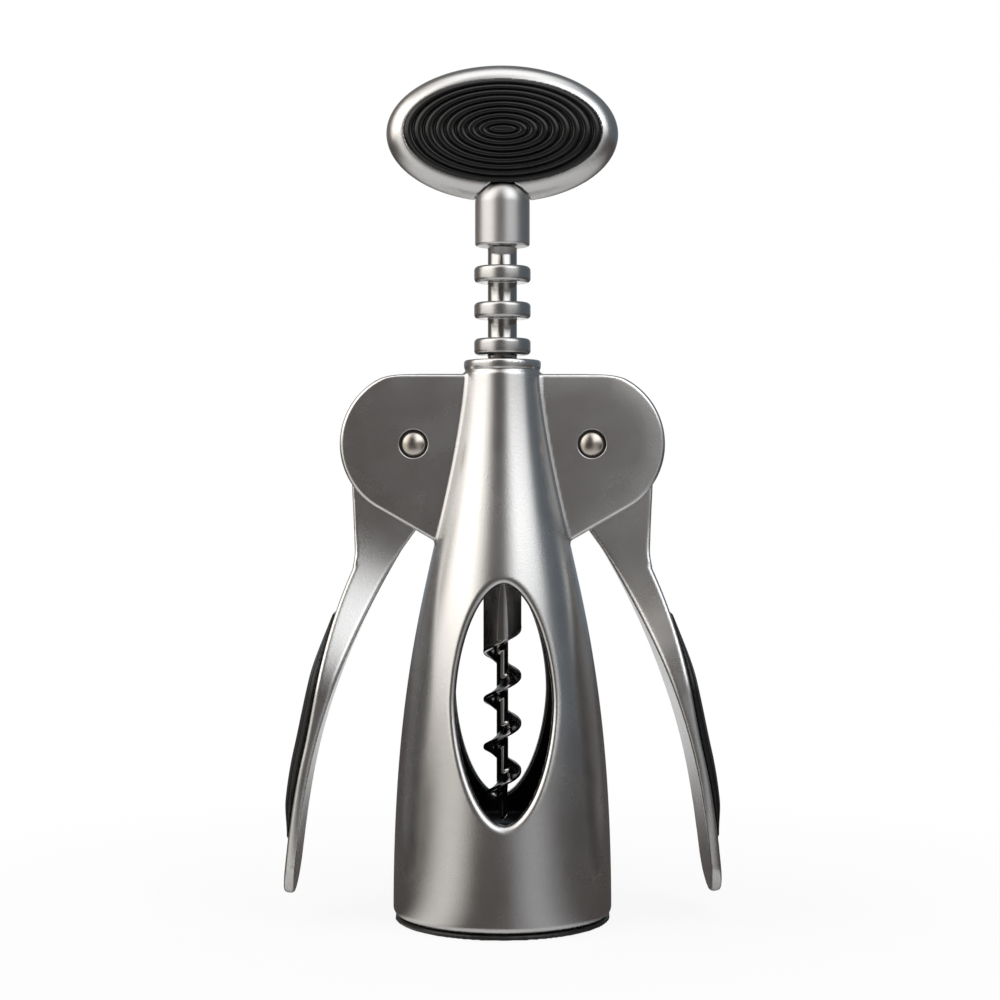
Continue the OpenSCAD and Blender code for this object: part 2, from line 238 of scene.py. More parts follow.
def add_mesh(name, points, faces, material, body, nodes=(), ways=None, worn=None):
    """A smooth-shaded piece from points in millimetres."""
    mesh = bpy.data.meshes.new(name)
    points = np.asarray(points, np.float64) * MM
    faces = np.asarray(faces, np.int64)
    mesh.vertices.add(len(points))
    mesh.vertices.foreach_set("co", points.ravel())
    width = faces.shape[1]
    mesh.loops.add(faces.size)
    mesh.loops.foreach_set("vertex_index", faces.ravel())
    mesh.polygons.add(len(faces))
    mesh.polygons.foreach_set("loop_start", np.arange(len(faces)) * width)
    mesh.update(calc_edges=True)
    mesh.validate()
    mesh.polygons.foreach_set("use_smooth", np.ones(len(mesh.polygons), bool))
    mesh.set_sharp_from_angle(angle=math.radians(50))
    if ways is not None:
        smooth_normals(mesh, ways)
        mesh.attributes.new("worn", "FLOAT", "POINT").data.foreach_set("value", worn)
    piece = bpy.data.objects.new(name, mesh)
    bpy.context.scene.collection.objects.link(piece)
    mesh.materials.append(material)
    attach(piece, body)
    if nodes:
        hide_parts(*nodes)
    return piece


def field_piece(name, field, low, high, step, material, body, nodes=()):
    """A piece meshed from its distance field within the box from low to high."""
    points, quads = surface_net(field, low, high, step)
    ways = slopes(field, points, 0.1 * step)
    return add_mesh(name, points, quads, material, body, nodes, ways, outer_edges(field, points))


def ring_quads(rows, count, close=False):
    """Quads between rows of points that each form a ring."""
    i, j = np.meshgrid(np.arange(rows if close else rows - 1), np.arange(count), indexing="ij")
    up = (i + 1) % rows
    a, b = i * count + j, i * count + (j + 1) % count
    c, d = up * count + (j + 1) % count, up * count + j
    return np.stack([a, b, c, d], 2).reshape(-1, 4)


# ---------------------------------------------------------------- shapes

BELL = [(BELL_R, FOOT_Z + 3.9), (0.98 * BELL_R, 0.555 * BODY_H),
        (1.4 * NECK_R, 0.66 * BODY_H), (NECK_R, BODY_H - 2.3)]
bell_line = bezier(BELL, np.linspace(0, 1, 300))


def bell_radius(z):
    return np.interp(z, bell_line[:, 1], bell_line[:, 0])


def bell_lean(z):
    """Cosine of the bell's slope, which turns a radial gap into a true distance."""
    return 1 / np.hypot(1, (bell_radius(z + 0.5) - bell_radius(z - 0.5)))


def window_field(x, z, grow=0.0):
    """Near distance to the window's outline, an oval with drawn-out ends, in the X-Z plane."""
    a, b, m, n = WINDOW_A + grow, WINDOW_B + grow, 1.82, 1.8
    u, v = np.abs(x) / b + 1e-6, np.abs(z - WINDOW_Z) / a + 1e-6
    level = u ** m + v ** n - 1
    return level / np.maximum(np.hypot(m * u ** (m - 1) / b, n * v ** (n - 1) / a), 0.02)


def inner_radius(z):
    """The casting's inside: the bell's wall below and the stem's bore above the shoulder."""
    bell_wall = bell_radius(z) - WALL
    t = ease((z - SHOULDER_Z + 8) / 8)
    return bell_wall * (1 - t) + BORE_R * t


def cavity_field(x, y, z, grow=0.0):
    r = np.hypot(x, y)
    lean = 1 / np.hypot(1, inner_radius(z + 0.5) - inner_radius(z - 0.5))
    return (r - inner_radius(z) - grow) * lean


def ear_outline(u, w):
    """Distance to an ear's outline: u outwards and w up from its pivot."""
    circle = np.hypot(u, w) - EAR_R
    low = 0.5 * u - 0.866 * w - EAR_R
    chord = 0.964 * u + 0.266 * (w - EAR_TOP)
    wedge = np.maximum(low, chord)
    return round_cut(np.minimum(circle, wedge), w - EAR_TOP, 1.2)


def lever_slot(u, y, w):
    """The slot between an ear's two plates, in which the lever turns: the gear's circle, what lies
    outside the bell beside the ears, and the arm's way in below."""
    below = np.maximum(np.maximum(-(u + 4.2), w), -(w + 21.4))
    outside = np.maximum(-u, -(w + 1.5 * EAR_R))
    flat = np.minimum(np.minimum(np.hypot(u, w) - EAR_R + 0.35, outside), below)
    return np.maximum(flat, np.abs(y) - SLOT_HALF)


def casting_field(x, y, z):
    """Bell, bead and two slotted ears, with the window and the pin holes cut through."""
    r = np.hypot(x, y)
    groove = BEAD_GROOVE * np.exp(-((z - BEAD_GROOVE_Z) / 0.5) ** 2)
    side = (r - bell_radius(z)) * bell_lean(z) + groove
    bell = round_cut(round_cut(side, z - BODY_H, 0.6), FOOT_Z - z, 1.8)
    u, w = np.abs(x) - PIVOT_X, z - PIVOT_Z
    outline = ear_outline(u, w)
    fall = PILLOW * np.clip(1 + outline / 6, 0, 1) ** 2
    ears = round_cut(outline, np.abs(y) - EAR_HALF + fall, 0.8)
    solid = round_join(bell, ears, 0.8)
    solid = round_cut(solid, -lever_slot(u, y, w), 0.25)
    solid = np.maximum(solid, PIN_R + 1.2 - np.hypot(u, w))
    solid = round_cut(solid, -window_field(x, z), 1.9)
    return round_cut(solid, -cavity_field(x, y, z), 0.35)


def guide_field(x, y, z):
    """The black insert: skirt, floor, bottle socket and flange."""
    r = np.hypot(x, y)
    wall, play = 1.3, -0.1
    outer = cavity_field(x, y, z, play)
    skirt = round_cut(np.maximum(outer, -cavity_field(x, y, z, play - wall)), z - guide_high[2], 0.5)
    floor = np.maximum(np.maximum(outer, np.abs(z - GUIDE_FLOOR_Z) - 1), WORM_HOLE_R - r)
    socket = np.maximum(np.maximum(r - SOCKET_R - wall, SOCKET_R - r), z - GUIDE_FLOOR_Z)
    plate = np.maximum(np.maximum(outer, z - 2), SOCKET_R - r)
    rim = np.maximum(r - guide_high[0], SOCKET_R - r)
    flange = round_cut(rim, np.abs(z - FOOT_Z / 2) - FOOT_Z / 2, 0.4)
    solid = np.minimum(np.minimum(skirt, floor), np.minimum(socket, plate))
    solid = np.minimum(np.maximum(solid, -z), flange)
    chamfer = (SOCKET_R + 0.8 - z - r) * 0.7071
    solid = np.maximum(solid, chamfer)
    return round_cut(solid, -window_field(x, z, 0.45), 0.3)


# Right lever seen from the front: u outwards, w up, from its pivot
ARM_REACH = 26.3
ARM_DROP = 99.5
ARM_LENGTH = 95
PADDLE_T = 2.3
PADDLE_W = 26.5
PADDLE_TIP = 0.885
ROOT_T = 8.0
PAD_CROWN = 2.5
MESH_Z = 107.15 - 105.6
ARM = [(0, -1.47 * ROOT_R), (0.885 * ARM_REACH, -0.57 * ARM_DROP),
       (0.9 * ARM_REACH, -0.78 * ARM_DROP), (ARM_REACH, -ARM_DROP)]
arm_steps = np.linspace(-0.06, 1.03, 437)
arm_line = bezier(ARM, arm_steps)
arm_way = bezier_slope(ARM, arm_steps)
arm_speed = np.linalg.norm(arm_way, axis=1)
arm_way /= arm_speed[:, None]
arm_turn = np.unwrap(np.arctan2(arm_way[:, 1], arm_way[:, 0]))
arm_bend = np.gradient(arm_turn, arm_steps) / arm_speed


def arm_frame(u, w):
    """Place along the arm (0 at the ears, 1 at the tip) and distance outwards from its inner face."""
    shape = np.shape(u)
    points = np.stack([np.ravel(u), np.ravel(w)], 1)
    along = np.empty(len(points))
    out = np.empty(len(points))
    for start in range(0, len(points), 20000):
        p = points[start:start + 20000]
        gap = p[:, None, :] - arm_line[None]
        near = (gap ** 2).sum(2).argmin(1)
        d = p - arm_line[near]
        way = arm_way[near]
        aside = -d[:, 0] * way[:, 1] + d[:, 1] * way[:, 0]
        reach = arm_speed[near] * np.maximum(1 - arm_bend[near] * aside, 0.2)
        along[start:start + 20000] = arm_steps[near] + (d * way).sum(1) / reach
        out[start:start + 20000] = aside
    return along.reshape(shape), out.reshape(shape)


def arm_thick(t):
    """The arm's thickness in its side view."""
    return PADDLE_T + (ROOT_T - PADDLE_T) * (1 - ease(t / 0.54))


def arm_half(t):
    """Half of the arm's width from front to back."""
    wide = LEVER_HALF + (PADDLE_W / 2 - LEVER_HALF) * ease((t - 0.02) / 0.36)
    return wide * (1 - 0.22 * (np.maximum(0, t - 0.55) / 0.45) ** 2)


def arm_at(u, w):
    """arm_frame, worked out once for a slice of points that share their u."""
    if np.ndim(u) == 2 and np.ptp(u) == 0:
        along, out = arm_frame(u[0], w[0])
        return np.broadcast_to(along, u.shape), np.broadcast_to(out, u.shape)
    return arm_frame(u, w)


def paddle_field(t, y, inset=0.0):
    """Distance to the paddle's outline on its own curved face."""
    side = np.abs(y) - (arm_half(np.minimum(t, PADDLE_TIP)) - inset)
    along = (t - PADDLE_TIP) * ARM_LENGTH
    length = (1 - PADDLE_TIP) * ARM_LENGTH + 0.3 - inset
    end_half = arm_half(PADDLE_TIP) - inset
    end = (np.hypot(np.maximum(along, 0) / length, y / end_half) - 1) * min(length, end_half)
    return np.where(along > 0, end, side)


def pad_seat(t, y):
    """Distance to the soft pad's outline on the paddle's outer face."""
    middle, half, inset, corner = 0.516, 0.312, 0.9, 3.0
    ends = (np.abs(t - middle) - half) * ARM_LENGTH
    return round_cut(paddle_field(t, y, inset), ends, corner)


def tooth_field(u, w):
    """Twelve-tooth wheel of which six are cut, from the inner side upwards."""
    r = np.hypot(u, w)
    phase = math.degrees(MESH_Z / GEAR_R)
    a = np.degrees(np.arctan2(w, -u)) - phase
    k = np.clip(np.round(a / 30), -1, 4)
    a = np.radians(a - 30 * k)
    across, along = r * np.sin(a), r * np.cos(a)
    half = 1.97 + (1.21 - 1.97) * np.clip((along - ROOT_R) / (TIP_R - 0.5 - ROOT_R), 0, 1)
    tooth = round_cut(np.abs(across) - half, along - TIP_R, 0.5)
    tooth = np.maximum(tooth, 8 - along)
    return round_join(tooth, r - ROOT_R, 0.35)


def lever_field(x, y, z):
    """Toothed hub, web and arm as one side view, whose depth follows the arm."""
    u, w = x - PIVOT_X, z - PIVOT_Z
    t, out = arm_at(u, w)
    thick = arm_thick(t)
    slab = np.maximum(np.abs(out - thick / 2) - thick / 2, -(t + 0.03) * ARM_LENGTH)
    web = root_field(u, w)
    side = np.where(out > thick / 2, round_join(web, slab, 1.3), np.minimum(web, slab))
    side = np.minimum(tooth_field(u, w), side)
    depth = np.where(t > 0, paddle_field(t, y), np.abs(y) - LEVER_HALF)
    edge = 0.35 + (np.minimum(0.9, 0.42 * thick) - 0.35) * ease(t / 0.12)
    return np.maximum(round_cut(side, depth, edge), PIN_R + 0.06 - np.hypot(u, w))


def arm_point(t, share):
    """A point of the arm's side view: share 0 on its inner face and 1 on its outer face."""
    way = bezier_slope(ARM, t)
    way = way / np.linalg.norm(way)
    return bezier(ARM, t) + np.array([-way[1], way[0]]) * arm_thick(t) * share


ROOT_WEB = [(1.06 * ROOT_R, -0.35 * ROOT_R), (-0.45 * ROOT_R, -0.89 * ROOT_R),
            tuple(arm_point(0.04, 0)), tuple(arm_point(0.1, 1))]


def root_field(u, w):
    """Distance to the web between the toothed hub and the arm: a convex outline."""
    field = None
    for (ua, wa), (ub, wb) in zip(ROOT_WEB, ROOT_WEB[1:] + ROOT_WEB[:1]):
        n = np.array([wb - wa, ua - ub])
        n /= np.linalg.norm(n)
        side = (u - ua) * n[0] + (w - wa) * n[1]
        field = side if field is None else np.maximum(field, side)
    return field


def lever_pad_field(x, y, z):
    """The soft pad: a crowned cushion on the paddle's outer face."""
    u, w = x - PIVOT_X, z - PIVOT_Z
    t, out = arm_at(u, w)
    base = arm_thick(t) + 0.1
    f = np.clip((t - 0.19) / 0.64, 0, 1)
    v = np.clip(np.abs(y) / np.maximum(arm_half(t) - 0.9, 1), 0, 1)
    ends = (0.3 + 0.7 * ease((f + 0.04) / 0.3)) * (0.15 + 0.85 * ease((1 - f) / 0.22))
    across = 0.3 + 0.7 * np.sqrt(np.maximum(0, 1 - v ** 2.4))
    crown = PAD_CROWN * (0.55 + 0.45 * np.sin(math.pi * f)) * ends * across
    top = out - base - crown
    shell = round_cut(pad_seat(t, y), top, 0.45)
    return np.maximum(shell, base - out)


WORM_R = 4.25
WORM_PITCH = 10.6
WORM_TIP = worm_low[2]
SHANK_Z = WORM_TIP + 40.2
SHANK_TOP = rack_low[2] - 0.2


def level_cut(x, y, z):
    """The shank's slanted lower end."""
    lean = math.atan(WORM_PITCH / (4 * WORM_R))
    return (SHANK_Z - z) * math.cos(lean) + x * math.sin(lean)


def worm_field(x, y, z):
    """Speed-worm: a steel rod whose lower length is cut to a sharp-edged helix on a thin core."""
    r = np.hypot(x, y)
    turn = np.arctan2(y, x) / (2 * math.pi)
    start = SHANK_Z - WORM_PITCH / 4 - WORM_PITCH / 2
    level = (z - start) / WORM_PITCH - turn
    level = (level - np.round(level)) * WORM_PITCH
    ramp = np.clip((WORM_TIP + 9 - z) / 9, 0, 1)
    outer = WORM_R * (1 - 0.86 * ramp ** 1.6)
    core = 1.3 * (1 - 0.75 * ramp ** 1.5)
    half = 0.28 + 1.5 * np.clip(1 - (r - core) / (WORM_R - 1.0), 0, 1) ** 1.5 * (1 - 0.7 * ramp)
    lean = 1 / np.hypot(1, WORM_PITCH / (2 * math.pi * np.maximum(r, 1.2)))
    blade = round_cut((np.abs(level) - half) * lean, r - outer, 0.12)
    thread = round_join(blade, r - core, 0.5)
    shank = round_cut(r - WORM_R, np.maximum(level_cut(x, y, z), z - SHANK_TOP), 0.3)
    thread = np.maximum(thread, z - SHANK_Z - 5)
    rod = np.maximum(r - 2.0, np.maximum(z - worm_high[2], SHANK_TOP - 1 - z))
    solid = np.minimum(round_join(thread, shank, 0.25), rod)
    return np.maximum(solid, WORM_TIP - z)


FERRULE_R = ferrule_high[0]
RIM_A, RIM_B = rim_high[0], (rim_high[2] - rim_low[2]) / 2
HANDLE_Z = (rim_high[2] + rim_low[2]) / 2
RIM_W = 4.1
RIM_HALF = rim_high[1]


def oval_field(x, z, a, b):
    """Near distance to an ellipse in the X-Z plane."""
    k = np.hypot(x / a, z / b)
    g = np.hypot(x / (a * a), z / (b * b))
    return np.where(k < 1e-6, -b, k * (k - 1) / np.maximum(g, 1e-9))


def ring_field(x, y, z):
    """The rim by itself: its face rises from the outer edge to a crest beside the pad."""
    n = oval_field(x, z - HANDLE_Z, RIM_A, RIM_B)
    across = np.clip(-n / RIM_W, -1, 1)
    k = (np.maximum(1 - across, 0) ** 1.7 + (np.abs(y) / RIM_HALF) ** 1.7) ** (1 / 1.7)
    return round_cut((k - 1) * 3.2, -(n + RIM_W), 0.3)


def barrel_field(x, y, z):
    """The ferrule's outside: a barrel with a round top."""
    up = np.maximum(z - (HANDLE_Z - RIM_B) + 0.05 * FERRULE_R, 0)
    return np.sqrt(x * x + y * y + up * up) - FERRULE_R


def rim_field(x, y, z):
    """The rim, with a web behind the pads and a narrow gap round the ferrule let into it."""
    ring = ring_field(x, y, z)
    gap = np.minimum(0.28 - barrel_field(x, y, z), ring + 0.8)
    web = np.maximum(oval_field(x, z - HANDLE_Z, RIM_A, RIM_B) + 1, np.abs(y) - 2)
    return np.minimum(np.maximum(ring, gap), web)


def ferrule_field(x, y, z):
    """The barrel, seated against the rim, with the spindle's bore."""
    body = round_cut(barrel_field(x, y, z), ferrule_low[2] - z, 0.6)
    body = np.maximum(body, np.maximum(-(ring_field(x, y, z) + 0.7), z - ferrule_high[2]))
    return np.maximum(body, 2.03 - np.hypot(x, y))


def rack_profile():
    """Half section of the ringed sleeve, from the foot of its bore round its outside to the top."""
    half, r, neck, bore, corner, root, land = 1.825, 6.3, 3.25, 2.05, 0.95, 0.22, (3.6, 4.4)
    first = ferrule_low[2] - 6.3
    line = [(bore, rack_low[2]), (neck - 0.25, rack_low[2]), (neck, rack_low[2] + 0.25)]
    for i in range(6, -1, -1):
        c = first - i * STEM_PITCH
        low, high = c - half, c + half
        arc = np.linspace(0, math.pi / 2, 9)
        line += [(neck, low - root), (neck + root * 0.3, low - root * 0.3), (neck + root, low)]
        line += [(e, low) for e in land]
        line += [(r - corner + corner * math.sin(a), low + corner - corner * math.cos(a)) for a in arc]
        line += [(r, c)]
        line += [(r - corner + corner * math.cos(a), high - corner + corner * math.sin(a)) for a in arc]
        line += [(e, high) for e in reversed(land)]
        line += [(neck + root, high), (neck + root * 0.3, high + root * 0.3), (neck, high + root)]
        if i:
            line += [(neck, c + STEM_PITCH / 2)]
    line += [(neck, rack_high[2] - 0.2), (neck - 0.2, rack_high[2]), (bore, rack_high[2])]
    return line


# ---------------------------------------------------------------- materials

class Nodes:
    """Short names for building one material's nodes."""

    def __init__(self, name):
        self.material = bpy.data.materials.new(name)
        self.material.use_nodes = True
        self.tree = self.material.node_tree
        self.tree.nodes.clear()
        self.out = self.tree.nodes.new("ShaderNodeOutputMaterial")
        self.shader = self.tree.nodes.new("ShaderNodeBsdfPrincipled")
        self.link(self.shader.outputs[0], self.out.inputs[0])
        self.place = self.tree.nodes.new("ShaderNodeTexCoord").outputs["Object"]

    def link(self, a, b):
        self.tree.links.new(a, b)

    def feed(self, socket, value):
        if isinstance(value, (int, float, tuple)):
            socket.default_value = value
        else:
            self.link(value, socket)

    def set(self, **values):
        for key, value in values.items():
            self.feed(self.shader.inputs[key.replace("_", " ")], value)

    def stretch(self, scale):
        node = self.tree.nodes.new("ShaderNodeMapping")
        self.link(self.place, node.inputs["Vector"])
        node.inputs["Scale"].default_value = scale
        return node.outputs[0]

    def noise(self, scale, detail=2.0, rough=0.5, vector=None):
        node = self.tree.nodes.new("ShaderNodeTexNoise")
        self.link(vector or self.place, node.inputs["Vector"])
        node.inputs["Scale"].default_value = scale
        node.inputs["Detail"].default_value = detail
        node.inputs["Roughness"].default_value = rough
        return node.outputs[0]

    def cells(self, scale):
        node = self.tree.nodes.new("ShaderNodeTexVoronoi")
        self.link(self.place, node.inputs["Vector"])
        node.inputs["Scale"].default_value = scale
        return node.outputs["Distance"]

    def math(self, operation, a, b=0.0):
        node = self.tree.nodes.new("ShaderNodeMath")
        node.operation = operation
        for socket, value in zip(node.inputs, (a, b)):
            self.feed(socket, value)
        return node.outputs[0]

    def span(self, value, low, high, to_low, to_high):
        node = self.tree.nodes.new("ShaderNodeMapRange")
        self.feed(node.inputs["Value"], value)
        for key, v in zip(("From Min", "From Max", "To Min", "To Max"), (low, high, to_low, to_high)):
            node.inputs[key].default_value = v
        return node.outputs[0]

    def mix(self, factor, a, b):
        node = self.tree.nodes.new("ShaderNodeMix")
        node.data_type = "RGBA"
        self.feed(node.inputs["Factor"], factor)
        for key, value in (("A", a), ("B", b)):
            socket = [s for s in node.inputs if s.name == key and s.type == "RGBA"][0]
            self.feed(socket, value)
        return [s for s in node.outputs if s.type == "RGBA"][0]

    def bump(self, height, distance, strength=1.0, normal=None):
        node = self.tree.nodes.new("ShaderNodeBump")
        self.link(height, node.inputs["Height"])
        node.inputs["Distance"].default_value = distance
        node.inputs["Strength"].default_value = strength
        if normal is not None:
            self.link(normal, node.inputs["Normal"])
        return node.outputs[0]

    def edge(self, low, high):
        """0 on flats and 1 on outer edges, from the mesh's own corners."""
        node = self.tree.nodes.new("ShaderNodeNewGeometry")
        return self.span(node.outputs["Pointiness"], low, high, 0.0, 1.0)

    def worn(self):
        """0 on flats and 1 on outer edges, as the mesh has it stored."""
        node = self.tree.nodes.new("ShaderNodeAttribute")
        node.attribute_name = "worn"
        return node.outputs["Fac"]

    def axis_gap(self):
        """Distance from the Z axis, in metres."""
        split = self.tree.nodes.new("ShaderNodeSeparateXYZ")
        self.link(self.place, split.inputs[0])
        x, y = split.outputs[0], split.outputs[1]
        return self.math("SQRT", self.math("ADD", self.math("MULTIPLY", x, x), self.math("MULTIPLY", y, y)))


def grey(value, warm=0.0):
    """A grey, a little towards red where warm is above 0."""
    return (value * (1 + warm), value, value * (1 - warm), 1.0)


def satin_metal(name, level=0.62, rough=0.3, grain=1.0, warm=0.012):
    """Bead-blasted zinc under a satin plate: fine grain, faint clouds, bright rubbed edges."""
    n = Nodes(name)
    clouds = n.noise(70, 4, 0.6)
    fine = n.noise(2600, 2, 0.6)
    specks = n.cells(2100)
    rubbed = n.math("MULTIPLY", n.worn(), n.span(n.noise(420, 3), 0.3, 0.6, 0.55, 1.0))
    dull, clear = grey(level * 0.965, warm), grey(level * 1.03, warm * 0.4)
    base = n.mix(n.span(clouds, 0.35, 0.65, 0.0, 1.0), dull, clear)
    base = n.mix(n.span(fine, 0.3, 0.7, 0.0, 0.35), base, grey(level * 0.86, warm))
    base = n.mix(rubbed, base, grey(min(0.9, level * 1.28), warm * 0.5))
    roughness = n.span(clouds, 0.3, 0.7, rough - 0.025, rough + 0.03)
    roughness = n.math("SUBTRACT", roughness, n.math("MULTIPLY", rubbed, 0.08))
    first = n.bump(fine, 0.00002 * grain, 0.5)
    n.set(Base_Color=base, Metallic=1.0, Roughness=roughness,
          Normal=n.bump(specks, 0.000012 * grain, 0.4, first))
    return n.material


def stem_metal():
    """Polished necks and satin collars, with the lathe's fine rings on both."""
    n = Nodes("stem")
    collar = n.span(n.axis_gap(), 0.0038, 0.0046, 0.0, 1.0)
    rings = n.noise(1.0, 3, 0.7, n.stretch((60, 60, 9000)))
    clouds = n.noise(260, 3)
    rough = n.math("ADD", n.math("MULTIPLY", collar, 0.17), n.span(clouds, 0.3, 0.7, 0.07, 0.12))
    rubbed = n.edge(0.52, 0.58)
    base = n.mix(collar, grey(0.46, 0.02), grey(0.6, 0.01))
    base = n.mix(n.span(rings, 0.35, 0.65, 0.0, 0.4), base, grey(0.5, 0.01))
    base = n.mix(rubbed, base, grey(0.8))
    n.set(Base_Color=base, Metallic=1.0, Roughness=rough, Normal=n.bump(rings, 0.000012, 0.5))
    return n.material


def pin_metal():
    """Nickel pins, faced on a lathe: rings round each pin's own axis."""
    n = Nodes("pin")
    split = n.tree.nodes.new("ShaderNodeSeparateXYZ")
    n.link(n.place, split.inputs[0])
    x = n.math("SUBTRACT", n.math("ABSOLUTE", split.outputs[0]), PIVOT_X * MM)
    z = n.math("SUBTRACT", split.outputs[2], PIVOT_Z * MM)
    gap = n.math("SQRT", n.math("ADD", n.math("MULTIPLY", x, x), n.math("MULTIPLY", z, z)))
    join = n.tree.nodes.new("ShaderNodeCombineXYZ")
    n.link(gap, join.inputs[0])
    rings = n.noise(9000, 2, 0.6, join.outputs[0])
    clouds = n.noise(700, 3)
    base = n.mix(n.span(clouds, 0.3, 0.7, 0.0, 1.0), (0.56, 0.51, 0.455, 1.0), (0.66, 0.615, 0.56, 1.0))
    base = n.mix(n.span(rings, 0.35, 0.65, 0.0, 0.45), base, (0.42, 0.38, 0.34, 1.0))
    n.set(Base_Color=base, Metallic=1.0, Roughness=n.span(clouds, 0.3, 0.7, 0.2, 0.28),
          Normal=n.bump(rings, 0.00001, 0.5))
    return n.material


def dark_steel():
    """Ground worm: drawn lengthways, darker in its hollows."""
    n = Nodes("worm_steel")
    drawn = n.noise(1.0, 3, 0.6, n.stretch((2600, 2600, 90)))
    clouds = n.noise(330, 3)
    rubbed = n.worn()
    base = n.mix(n.span(clouds, 0.3, 0.7, 0.0, 1.0), grey(0.46, 0.02), grey(0.56, 0.02))
    base = n.mix(n.math("MULTIPLY", rubbed, 0.8), base, grey(0.6, 0.01))
    n.set(Base_Color=base, Metallic=1.0, Roughness=n.span(drawn, 0.3, 0.7, 0.08, 0.15),
          Normal=n.bump(drawn, 0.00001, 0.5))
    return n.material


def soft_black(name="soft_rubber", level=0.005, rough=0.2):
    """Black rubber or plastic with a fine grain, rubbed edges and a little dust."""
    n = Nodes(name)
    grain = n.noise(3200, 2, 0.6)
    clouds = n.noise(180, 3)
    dust = n.span(n.noise(1900, 1), 0.7, 0.78, 0.0, 0.6)
    base = n.mix(n.span(clouds, 0.3, 0.7, 0.0, 1.0), grey(level * 0.8), grey(level * 1.3))
    base = n.mix(n.math("MULTIPLY", n.edge(0.52, 0.6), 0.5), base, grey(level * 3))
    base = n.mix(dust, base, grey(level * 5))
    n.set(Base_Color=base, Roughness=n.span(grain, 0.3, 0.7, rough - 0.05, rough + 0.08),
          Normal=n.bump(grain, 0.00002, 0.4))
    n.shader.inputs["Specular IOR Level"].default_value = 0.4
    return n.material


def floor_material():
    """White to the camera and pale in its own light. Metal that looks along it sees painted
    reflections: a dim emission with two soft glowing patches, which are no lamps; metal that looks down
    on it sees it pale, and straight behind the object it is white."""
    n = Nodes("floor_white")
    n.set(Base_Color=grey(0.8), Roughness=0.9)
    n.shader.inputs["Specular IOR Level"].default_value = 0.0
    split = n.tree.nodes.new("ShaderNodeSeparateXYZ")
    n.link(n.place, split.inputs[0])
    gap = n.axis_gap()
    side = n.math("DIVIDE", split.outputs[0], gap)
    ahead = n.math("DIVIDE", split.outputs[1], gap)
    path = n.tree.nodes.new("ShaderNodeLightPath")
    mirror = n.math("MAXIMUM", path.outputs["Is Glossy Ray"], path.outputs["Is Transmission Ray"])
    angle = n.tree.nodes.new("ShaderNodeLayerWeight")
    angle.inputs["Blend"].default_value = 0.5
    flat = n.span(angle.outputs["Facing"], 0.3, 0.6, 0.0, 0.96)
    # painted reflection: two glowing patches on the floor that only glossy rays see, standing in for light
    painted_glows = []
    for middle, far, near in ((-0.8, 0.34, 0.06), (0.46, 0.42, 0.08)):
        spot = n.span(n.math("ABSOLUTE", n.math("SUBTRACT", side, middle)), far, near, 0.0, 1.0)
        painted_glows.append(n.math("MULTIPLY", spot, n.span(ahead, -0.05, -0.35, 0.0, 1.0)))
    # painted reflection: the dim emission with its glowing patches, shown to glossy rays that run along the
    # floor
    room = n.tree.nodes.new("ShaderNodeEmission")
    dim = n.mix(painted_glows[0], (0.075, 0.064, 0.06, 1.0), (0.85, 0.83, 0.78, 1.0))
    n.link(n.mix(painted_glows[1], dim, (0.42, 0.425, 0.435, 1.0)), room.inputs["Color"])
    near = n.tree.nodes.new("ShaderNodeMixShader")
    n.link(n.math("MULTIPLY", mirror, flat), near.inputs[0])
    n.link(n.shader.outputs[0], near.inputs[1])
    n.link(room.outputs[0], near.inputs[2])
    shown = n.span(gap, 0.04, 0.19, 0.9, 1.0)
    behind = n.math("MULTIPLY", mirror, n.span(ahead, 0.985, 0.998, 0.0, 1.0))
    glow = n.tree.nodes.new("ShaderNodeEmission")
    blend = n.tree.nodes.new("ShaderNodeMixShader")
    white = n.math("MAXIMUM", path.outputs["Is Camera Ray"], behind)
    n.link(n.math("MULTIPLY", white, shown), blend.inputs[0])
    n.link(near.outputs[0], blend.inputs[1])
    n.link(glow.outputs[0], blend.inputs[2])
    n.link(blend.outputs[0], n.out.inputs[0])
    return n.material


def studio_world():
    """White to the camera and straight behind the object; elsewhere a dim room, paler in front to
    the right."""
    world = bpy.data.worlds.new("studio")
    world.use_nodes = True
    tree = world.node_tree
    tree.nodes.clear()
    out = tree.nodes.new("ShaderNodeOutputWorld")
    way = tree.nodes.new("ShaderNodeTexCoord").outputs["Generated"]
    split = tree.nodes.new("ShaderNodeSeparateXYZ")
    tree.links.new(way, split.inputs[0])

    def ramp(value, low, high):
        node = tree.nodes.new("ShaderNodeMapRange")
        tree.links.new(value, node.inputs["Value"])
        node.inputs["From Min"].default_value = low
        node.inputs["From Max"].default_value = high
        return node.outputs[0]

    def blend(factor, a, b):
        node = tree.nodes.new("ShaderNodeMixShader")
        tree.links.new(factor, node.inputs[0])
        tree.links.new(a, node.inputs[1])
        tree.links.new(b, node.inputs[2])
        return node.outputs[0]

    def light(*colour):
        node = tree.nodes.new("ShaderNodeBackground")
        node.inputs["Color"].default_value = (*colour, 1.0)
        return node.outputs[0]

    white = light(1.0, 1.0, 1.0)
    sides = blend(ramp(split.outputs[0], -0.5, 0.5), light(0.17, 0.145, 0.13), light(0.13, 0.15, 0.17))
    front = blend(ramp(split.outputs[0], -0.05, 0.45), light(0.1, 0.092, 0.089), light(0.4, 0.385, 0.37))
    room = blend(ramp(split.outputs[1], -0.97, -0.2), front, sides)
    room = blend(ramp(split.outputs[1], 0.75, 0.95), room, light(0.3, 0.34, 0.38))
    room = blend(ramp(split.outputs[1], 0.988, 0.999), room, white)
    path = tree.nodes.new("ShaderNodeLightPath")
    tree.links.new(blend(path.outputs["Is Camera Ray"], room, white), out.inputs["Surface"])
    bpy.context.scene.world = world


